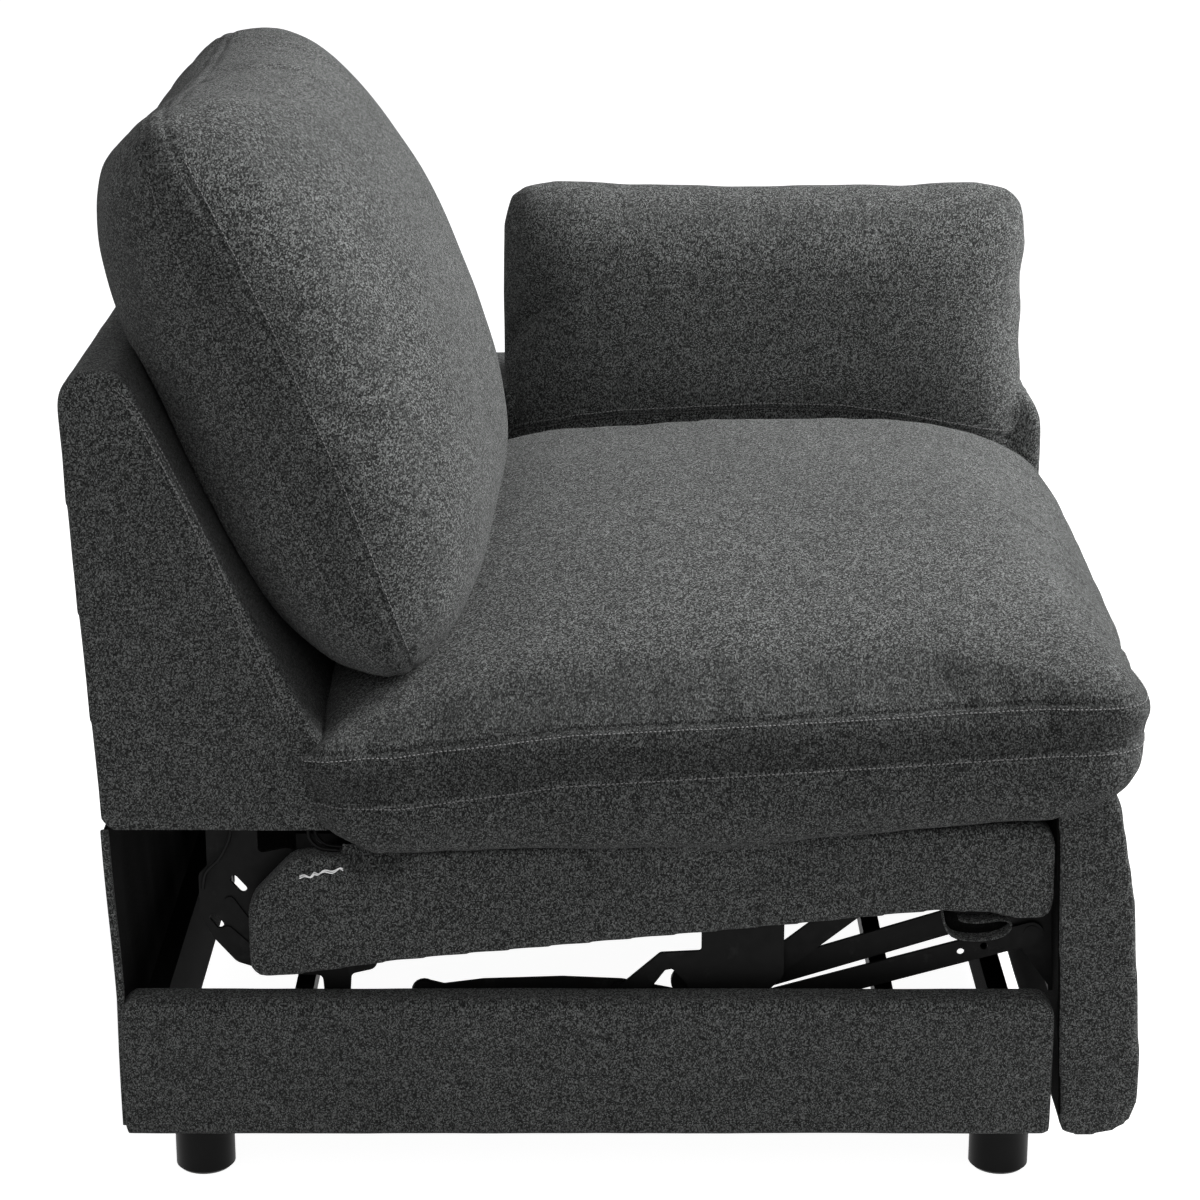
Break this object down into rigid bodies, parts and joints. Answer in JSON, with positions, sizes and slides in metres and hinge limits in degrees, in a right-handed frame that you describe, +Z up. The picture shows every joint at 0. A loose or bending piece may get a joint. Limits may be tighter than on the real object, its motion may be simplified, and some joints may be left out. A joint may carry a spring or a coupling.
{
  "type": "power recliner seat module",
  "caption": "Upholstered power recliner seat module with an arm on its right, an open left side that shows the steel mechanism, gliding seat, leaning back and folding footrest.",
  "frame": {"origin": "on the floor under the middle of the overall box", "axes": "+Z up, -Y the front, +X towards the arm"},
  "size_m": [0.94, 1.044, 1.0851],
  "materials": {
    "fabric": "matte heathered weave",
    "thin_cloth": "matte",
    "timber": "raw",
    "lined_board": "wrapped in black cloth",
    "black_plastic": "satin",
    "button_plastic": "satin",
    "bright_steel": "zinc",
    "black_steel": "satin black"
  },
  "bodies": {
    "base": {"side_rail_cover": "fabric", "side_rail_board": "timber", "right_base_rail": "timber", "base_front_rail": "lined_board", "base_rear_rail": "lined_board", "corner_blocks": "timber", "foot_front_left": "black_plastic", "foot_rear_left": "black_plastic", "foot_front_right": "black_plastic", "foot_rear_right": "black_plastic", "foot_studs": "bright_steel", "mech_rail_left": "black_steel", "mech_rail_right": "black_steel", "base_cross_tubes": "black_steel", "base_bolts": "bright_steel", "arm_cover": "fabric", "arm_frame": "timber", "arm_pillow": "fabric", "control_bezel": "black_plastic", "rear_skirt": "thin_cloth", "power_inlet": "black_plastic"},
    "open_button": {"button_open": "button_plastic"},
    "close_button": {"button_close": "button_plastic"},
    "rear_swing": {"rear_swing_links": "black_steel"},
    "front_swing": {"front_swing_links": "black_steel"},
    "seat": {"seat_side_cover_left": "fabric", "seat_side_cover_right": "fabric", "seat_side_board_left": "timber", "seat_side_board_right": "timber", "seat_front_panel": "fabric", "seat_rear_rail": "lined_board", "seat_springs": "bright_steel", "spring_clips": "bright_steel", "seat_deck": "thin_cloth", "seat_cushion": "fabric", "seat_plate_left": "black_steel", "seat_plate_right": "black_steel", "seat_bolts": "bright_steel", "carrier_bars": "black_steel", "seat_cross_tubes": "black_steel", "actuator_motor": "black_plastic", "actuator_rail": "bright_steel", "cushion_tab": "fabric", "front_flap": "thin_cloth", "wire_clip": "bright_steel", "seat_leads": "black_plastic"},
    "nut": {"actuator_nut": "bright_steel"},
    "rear_hang": {"rear_hang_links": "black_steel"},
    "front_hang": {"front_hang_links": "black_steel", "drive_tube": "black_steel"},
    "long_link": {"long_links": "black_steel"},
    "front_link": {"front_links": "black_steel"},
    "back": {"back_cover": "fabric", "back_frame": "lined_board", "back_pillow": "fabric", "back_brackets": "black_steel", "back_lead": "black_plastic"},
    "footrest": {"footrest_cover": "fabric", "footrest_board": "lined_board", "footrest_brackets": "black_steel"}
  },
  "joints": [
    {"name": "recline", "type": "hinge", "parent": "base", "child": "rear_swing", "pos_m": [-0.095, 0.12999, 0.084], "axis": [1, 0, 0], "range_deg": [0, 56], "deforming": ["rear_skirt"]},
    {"name": "front_swing_turn", "type": "hinge", "parent": "base", "child": "front_swing", "pos_m": [-0.095, -0.06801, 0.084], "axis": [1, 0, 0], "range_deg": [0, 56]},
    {"name": "seat_glide", "type": "hinge", "parent": "rear_swing", "child": "seat", "pos_m": [-0.095, 0.189, 0.19499], "axis": [-1, 0, 0], "range_deg": [0, 56]},
    {"name": "back_lean", "type": "hinge", "parent": "seat", "child": "back", "pos_m": [-0.095, 0.313, 0.26999], "axis": [-1, 0, 0], "range_deg": [0, 35]},
    {"name": "legrest", "type": "hinge", "parent": "seat", "child": "front_hang", "pos_m": [-0.095, -0.303, 0.33699], "axis": [-1, 0, 0], "range_deg": [0, 111]},
    {"name": "rear_hang_turn", "type": "hinge", "parent": "seat", "child": "rear_hang", "pos_m": [-0.095, -0.237, 0.33699], "axis": [-1, 0, 0], "range_deg": [0, 111]},
    {"name": "long_link_turn", "type": "hinge", "parent": "front_hang", "child": "long_link", "pos_m": [-0.095, -0.137, 0.20299], "axis": [1, 0, 0], "range_deg": [0, 111]},
    {"name": "footrest_tilt", "type": "hinge", "parent": "long_link", "child": "footrest", "pos_m": [-0.095, -0.385, 0.28199], "axis": [-1, 0, 0], "range_deg": [0, 86]},
    {"name": "front_link_turn", "type": "hinge", "parent": "front_hang", "child": "front_link", "pos_m": [-0.095, -0.1525, 0.18289], "axis": [1, 0, 0], "range_deg": [0, 108.2]},
    {"name": "nut_travel", "type": "slide", "parent": "seat", "child": "nut", "axis": [0, -1, 0], "range_m": [0, 0.104]},
    {"name": "open_press", "type": "slide", "parent": "base", "child": "open_button", "axis": [-1, 0, 0], "range_m": [0, 0.0012], "stiffness_N_per_m": 600},
    {"name": "close_press", "type": "slide", "parent": "base", "child": "close_button", "axis": [-1, 0, 0], "range_m": [0, 0.0012], "stiffness_N_per_m": 600}
  ],
  "couplings": [
    {"joint": "front_swing_turn", "follows": "recline", "ratio": 1},
    {"joint": "seat_glide", "follows": "recline", "ratio": 1},
    {"joint": "back_lean", "follows": "recline", "ratio": 0.625},
    {"joint": "rear_hang_turn", "follows": "legrest", "ratio": 1},
    {"joint": "long_link_turn", "follows": "legrest", "ratio": 1},
    {"joint": "footrest_tilt", "follows": "legrest", "ratio": 0.77477},
    {"joint": "front_link_turn", "follows": "legrest", "ratio": 0.97477},
    {"joint": "nut_travel", "follows": "legrest", "m_per_rad": 0.053682}
  ]
}
